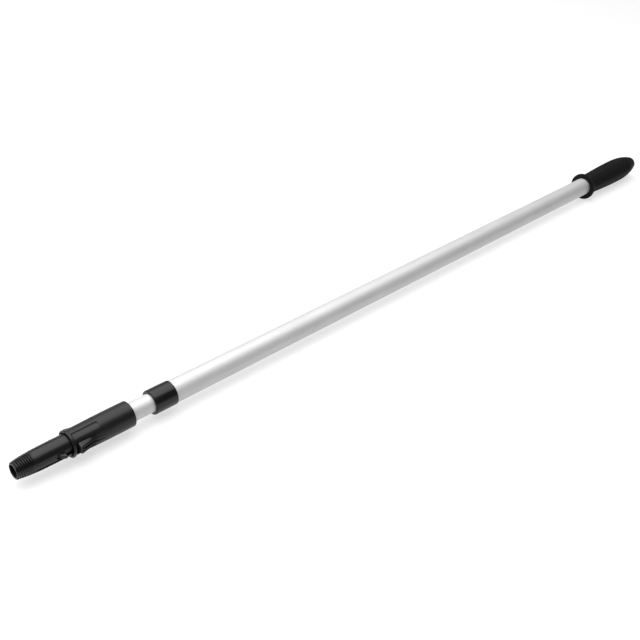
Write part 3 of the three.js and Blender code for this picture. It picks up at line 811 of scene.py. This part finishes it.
def fitting_sleeve():
    """The sleeve over the nose and the thin tube, with its lip, panels, windows and screw sinks."""
    angles = circle(360)
    rear = sleeve_high[0]
    stations = np.concatenate([
        np.arange(LIP_WIDTH + 0.6, PANEL_TO + 1.5, 0.25), np.linspace(PANEL_TO + 2, rear - 1, 24),
    ])
    lip = soften([
        (LIP_X + LIP_WIDTH, LIP_BORE_R, 0.3), (LIP_X, LIP_BORE_R, 0.25), (LIP_X, LIP_R, 0.55),
        (LIP_X + LIP_WIDTH, LIP_R, 0.55), (LIP_X + LIP_WIDTH + 0.15, SLEEVE_FRONT_R - GROOVE_DEPTH, 0.2),
        (LIP_X + LIP_WIDTH + 0.5, SLEEVE_FRONT_R - GROOVE_DEPTH, 0),
    ], 0.3, 5)[6:-1]
    tail = soften([
        (rear - 6, SLEEVE_REAR_R, 0), (rear, SLEEVE_REAR_R, 0.9), (rear, INNER_R + 0.2, 0.3),
        (inner_low[0], INNER_R + 0.2, 0.1), (inner_low[0], SLEEVE_BORE_R, 0.1),
        (LIP_X + LIP_WIDTH, SLEEVE_BORE_R, 0.1), (LIP_X + LIP_WIDTH, LIP_BORE_R, 0.1),
    ], 0.3, 5)[1:]
    rows = list(lip)
    rows += [(x, sleeve_radius(x) - panel_depth(x, angles)) for x in stations]
    rows += tail
    body = turned("sleeve", rows, angles)
    return carve(body, both_sides(sleeve_window()) + [screw_sink(x) for x in SCREW_XS])


settle(fitting_sleeve(), "fitting_sleeve_moulded", "inner_section", BLACK_MOULDING,
       ["fitting_sleeve"])

# ---------------------------------------------------------------- latches

LUG_HALF = 2.4
LUG_FRONT_X = latch_low[0] + 1.9
LUG_PEAK_X = LUG_FRONT_X + 5.3
LUG_BACK_X = LUG_FRONT_X + 6.5
LUG_PEAK_Y = 16.6
LUG_BACK_RUN = 1.2
LUG_SQUARENESS = 0.62
LUG_BEND = 1.2
LUG_PEAK_DROP = 0.5
ARM_HALF = 3.1
ARM_IN_Y = 7.0
ARM_OUT_Y = 9.2
EAR_FRONT = 5.0
EAR_REAR = WINDOW_REAR - 0.05
EAR_IN_Y = 9.6
EAR_CORNER = 3.2
EAR_GAP = 1.25
EAR_HINGE_GAP = 0.15
EAR_TOP_Y = 17.6
EAR_FLUSH = 26.0
EAR_FLUSH_Y = 13.75
FLANK = 1.7
UNDERCUT = 0.24
U_CENTRE = 10.9
U_HALF = 3.4
U_DEPTH = 1.5
HOLLOW_DEPTH = 3.3


def latch_arm():
    """The lever from the lug to the hub, with a round front end."""
    hub_r = PIVOT_R + 1.3
    turn = np.radians(np.linspace(200, 360, 12))
    hub = [(PIVOT_X + hub_r * math.cos(a), PIVOT_Y + hub_r * math.sin(a)) for a in turn]
    side = plate_z("arm", [
        (latch_low[0], ARM_IN_Y), (PIVOT_X - 6, ARM_IN_Y), *hub, (PIVOT_X + hub_r, EAR_IN_Y + 0.6),
        (EAR_FRONT + 2, EAR_IN_Y + 0.6), (EAR_FRONT + 1, ARM_OUT_Y), (latch_low[0], ARM_OUT_Y),
    ], 2 * ARM_HALF)
    plan = plate_y("plan", slot_outline(latch_low[0], PIVOT_X + hub_r, ARM_HALF, ARM_HALF), 0, 20)
    return bevelled(carve(side, [plan], "INTERSECT"), 0.25, 2)


def lug_height(x):
    """The lug's outline from the side: a rounded ramp, a peak, and a steep back that holds the tool."""
    along = np.clip((x - LUG_FRONT_X) / (LUG_PEAK_X - LUG_FRONT_X), 0, 1)
    ramp = ARM_OUT_Y + 0.3 + (LUG_PEAK_Y - ARM_OUT_Y - 0.3) * np.sin(along * LUG_BEND) / math.sin(LUG_BEND)
    behind = np.clip((x - LUG_PEAK_X) / (LUG_BACK_X - LUG_PEAK_X), 0, 1)
    drop = np.clip((x - LUG_BACK_X) / LUG_BACK_RUN, 0, 1)
    return ramp - LUG_PEAK_DROP * behind ** 2 - (LUG_PEAK_Y - LUG_PEAK_DROP - ARM_OUT_Y - 0.3) * drop


def latch_lug():
    """The snap lug, with a round back from side to side."""
    base = ARM_IN_Y + 0.4
    turn = np.linspace(0, math.pi, 33)
    around = np.sign(np.cos(turn)) * np.abs(np.cos(turn)) ** LUG_SQUARENESS
    up = np.sin(turn) ** LUG_SQUARENESS
    xs = [*np.linspace(LUG_FRONT_X, LUG_BACK_X, 26), LUG_BACK_X + 0.2, LUG_BACK_X + LUG_BACK_RUN]
    return loft("lug", [
        [(x, base + (float(lug_height(x)) - base) * h, LUG_HALF * w) for w, h in zip(around, up)]
        for x in xs
    ])


def ear_half_width(x):
    """Half the ear's width: the window's, less a gap that closes up towards the hinge."""
    taper = (x - WINDOW_FRONT - WINDOW_CORNER) / (WINDOW_REAR - WINDOW_FRONT - WINDOW_CORNER)
    half = WINDOW_FRONT_HALF + (WINDOW_REAR_HALF - WINDOW_FRONT_HALF) * max(taper, 0)
    half -= EAR_GAP - (EAR_GAP - EAR_HINGE_GAP) * smoothstep(20, 35, x)
    into = x - EAR_FRONT
    if into >= EAR_CORNER:
        return half
    return half - EAR_CORNER + math.sqrt(max(EAR_CORNER ** 2 - (EAR_CORNER - into) ** 2, 0))


def lower_of(first, second, round_off):
    """The lower of two heights, with the corner between them rounded off."""
    return -round_off * np.logaddexp(-first / round_off, -second / round_off)


def ear_face(x, z):
    """Height of the ear's face: flat across its thumb pad in front, and flush with the sleeve behind."""
    along = np.clip((x - EAR_FRONT) / (EAR_FLUSH - EAR_FRONT), 0, 1)
    pad = EAR_FLUSH_Y + (EAR_TOP_Y - EAR_FLUSH_Y) * (1 - along) ** 1.4
    wall = sleeve_radius(x) - 0.3 * (1 - smoothstep(28, 37, x))
    flush = np.sqrt(wall ** 2 - z ** 2)
    return pad + (flush - pad) * smoothstep(15, 29, x)


def ear_marks(x, z):
    """Depth of the U-shaped groove in the thumb pad, and of the hollow inside it."""
    half = U_HALF - 1.5 * smoothstep(12, 38, x)
    radius = np.where(x < U_CENTRE, np.hypot(x - U_CENTRE, z), np.abs(z) * U_HALF / half)
    groove = U_DEPTH * (1 - smoothstep(0.35, 1.05, np.abs(radius - U_HALF))) * (1 - smoothstep(24, 41, x))
    hollow = HOLLOW_DEPTH * (1 - smoothstep(0.9, 1.7, radius)) * (1 - smoothstep(14, 34, x))
    return groove + hollow


def ear_top(x, z, half):
    """The ear's outside: its face, a sloping flank on each side and a steep front."""
    face = ear_face(x, z)
    foot = np.sqrt(sleeve_radius(x) ** 2 - half ** 2) - 0.9 * (1 - smoothstep(20, 33, x))
    slope = np.maximum(face - foot, 0.3) / FLANK
    flank = foot + (half - np.abs(z)) * slope + 0.25 * smoothstep(24, 34, x)
    front = EAR_IN_Y + 3 + (x - EAR_FRONT) * 5
    return lower_of(lower_of(face, flank, 0.22), front, 0.22) - ear_marks(x, z)


def latch_ear():
    """A closed grid over the ear's plan: its face above, and a flat underside."""
    xs = np.concatenate([
        EAR_FRONT + 4 * np.linspace(0, 1, 28) ** 1.5,
        np.arange(EAR_FRONT + 4.1, EAR_REAR - 0.1, 0.15),
        [EAR_REAR],
    ])
    across = np.linspace(-1, 1, 121)
    top = []
    for x in xs:
        half = ear_half_width(x)
        z = across * half
        ridge = np.full_like(z, x)
        top.append(np.stack([ridge, ear_top(ridge, z, half), z], axis=1))
    top = np.array(top)
    bottom = top.copy()
    bottom[:, :, 1] = EAR_IN_Y
    bottom[:, :, 2] *= 1 - UNDERCUT * (1 - smoothstep(22, 35, bottom[:, :, 0]))
    rings = np.concatenate([top, bottom[:, ::-1]], axis=1)
    return loft("ear", rings)


def latch():
    """The near latch in one piece: ear, arm and lug, with the pin's hole."""
    body = carve(latch_ear(), [latch_arm(), latch_lug()], "UNION")
    return carve(body, [upright(rod(-2 * CORE_R, 2 * CORE_R, PIVOT_R + CLEARANCE), PIVOT_X, PIVOT_Y)])


def latches():
    right = latch()
    left = copied(right, HALF_TURN)
    for side, obj in (("right", right), ("left", left)):
        settle(obj, f"latch_{side}_moulded", f"latch_{side}_body", BLACK_MOULDING,
               [f"latch_{side}"], 55)


latches()

# ---------------------------------------------------------------- small metal parts

SPRING_TURNS = 4.25
SPRING_WIRE_R = 0.28


def latch_spring():
    """A coil spring on the nose's web, with its coils closer at the two ends."""
    turns, around, wire = SPRING_TURNS, 12, SPRING_WIRE_R
    low, high = spring_low[1] + wire, spring_high[1] - wire
    radius = (spring_high[0] - spring_low[0]) / 2 - wire
    centre_x = (spring_high[0] + spring_low[0]) / 2
    sections = []
    for t in np.linspace(0, 1, int(turns * 28)):
        a = 2 * math.pi * turns * t
        closed_end = 0.5 - 0.5 * math.cos(math.pi * t)
        height = low + (high - low) * (0.35 * closed_end + 0.65 * t)
        outward = np.array([math.cos(a), 0, math.sin(a)])
        centre = np.array([centre_x, height, 0]) + radius * outward
        sections.append([
            centre + wire * (math.cos(b) * outward + math.sin(b) * np.array([0, 1, 0]))
            for b in circle(around)
        ])
    return loft("spring", sections)


def sleeve_screw(x):
    """A countersunk screw from below, with a cross recess."""
    head = turned("screw", soften([
        (SCREW_HEAD_Z, 0), (SCREW_HEAD_Z, SCREW_HEAD_R, 0.2), (SCREW_HEAD_Z + 1.2, SCREW_HEAD_R, 0.1),
        (SCREW_HEAD_Z + 2.4, 1.35), (-6.4, 1.35), (-5.4, 0),
    ], 0.1), circle(64))
    bars = [
        loft("bar", [[(SCREW_HEAD_Z + d, a * w, b * h) for a, b in ((-1, -1), (1, -1), (1, 1), (-1, 1))]
                     for d, w, h in ((-1, wide, tall), (1.1, wide * 0.7, tall * 0.7))])
        for wide, tall in ((0.4, 1.6), (1.6, 0.4))
    ]
    return upright(carve(head, bars), x)


def pivot_pin():
    half = pin_high[2]
    return upright(turned("pin", soften([(-half, 0), (-half, PIVOT_R), (half, PIVOT_R), (half, 0)], 0.3),
                          circle(48)), PIVOT_X, PIVOT_Y)


def small_parts():
    for node, x in zip(("sleeve_screw_front", "sleeve_screw_rear"), SCREW_XS):
        settle(sleeve_screw(x), f"{node}_cross", "inner_section", STEEL, [node])
    for side, turn in (("right", Matrix.Identity(4)), ("left", HALF_TURN)):
        pin = moved(pivot_pin(), turn)
        settle(pin, f"pivot_pin_{side}_turned", "inner_section", STEEL, [f"pivot_pin_{side}"])
        spring = settle(moved(latch_spring(), turn), f"latch_spring_{side}_wound", "inner_section", STEEL,
                        [f"latch_spring_{side}"])
        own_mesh(spring)


small_parts()

CARRIED = {
    "guide_bush": NYLON, "tube_end_plug": BLACK_MOULDING, "guide_ring": NYLON, "drag_ring": GRIP_RUBBER,
    "lock_plug": NYLON, "plug_pin": STEEL, "guide_washer": STEEL, "guide_screw": STEEL, "cam_ring": NYLON,
}
for node, material in CARRIED.items():
    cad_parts[node].material_slots[0].material = material

bpy.context.view_layer.update()
